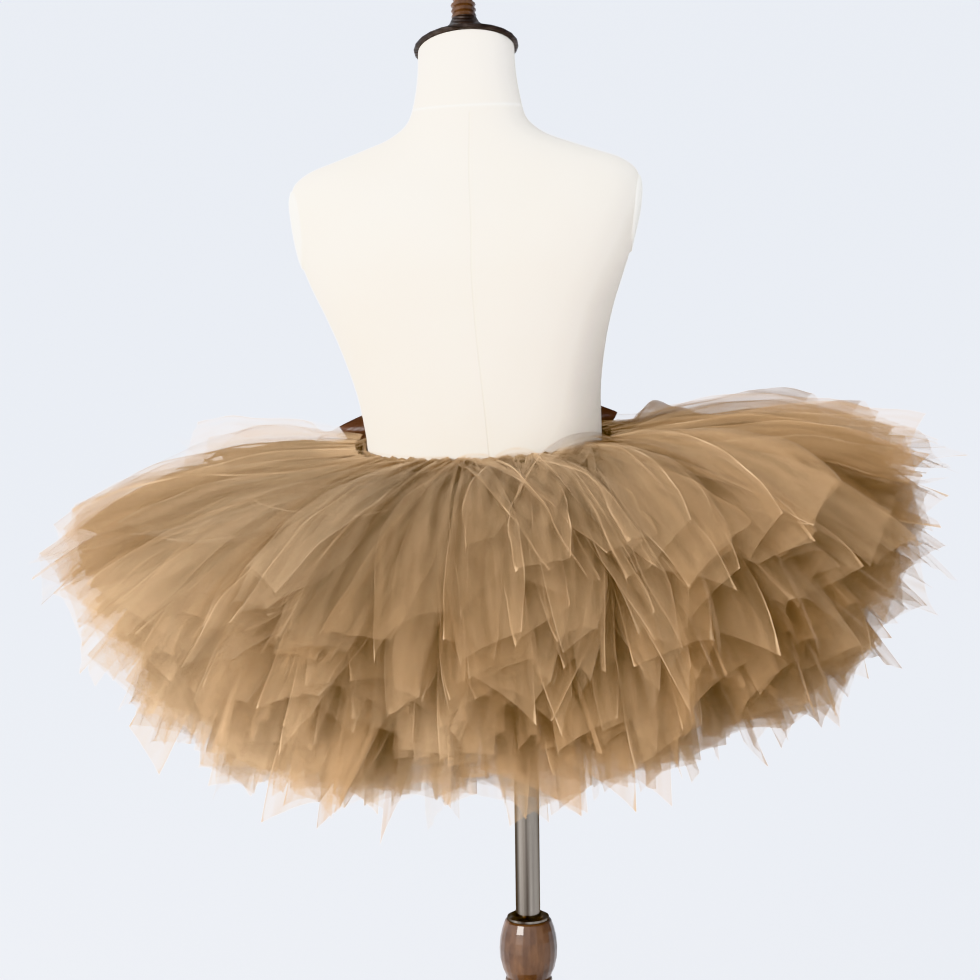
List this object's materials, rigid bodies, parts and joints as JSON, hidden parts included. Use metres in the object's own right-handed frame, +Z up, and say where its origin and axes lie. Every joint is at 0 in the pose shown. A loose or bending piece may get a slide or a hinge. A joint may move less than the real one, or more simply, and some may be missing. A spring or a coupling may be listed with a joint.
{
  "type": "ballet tutu on a limbless dress form",
  "caption": "Full, fluffy skirt of knotted tulle strips with a satin bow at its front, worn by a child's dress form on a pole stand.",
  "frame": {"origin": "on the floor, at the middle of the base's underside and on the pole's axis", "axes": "+Z up along the pole, +Y towards the garment's front, where its bow is, and +X to the form's right hand side as seen from behind"},
  "size_m": [0.7445, 0.7113, 1.0602],
  "materials": {
    "tulle": "soft gold-brown nylon tulle, see-through net",
    "waistband": "tulle loops drawn tight round an elastic",
    "ribbon": "dark brown double-faced satin",
    "form_fabric": "off-white stretch linen, matt",
    "bronze": "dark antique bronze, satin",
    "wood": "dark brown stain, clear lacquer",
    "steel": "brushed, slightly warm"
  },
  "bodies": {
    "root": {"form_torso": "form_fabric", "arm_plate_left": "form_fabric", "arm_plate_right": "form_fabric", "neck_cap": "bronze", "finial": "wood", "form_socket": "steel", "pole": "steel", "grip_collar": "steel", "grip_barrel": "wood", "lower_column": "steel", "base": "wood", "waistband": "waistband", "tulle_tier_1": "tulle", "tulle_tier_2": "tulle", "tulle_tier_3": "tulle", "tulle_tier_4": "tulle", "tulle_tier_5": "tulle", "tulle_tier_6": "tulle", "bow_loop_left": "ribbon", "bow_loop_right": "ribbon", "bow_knot": "ribbon"}
  },
  "joints": []
}
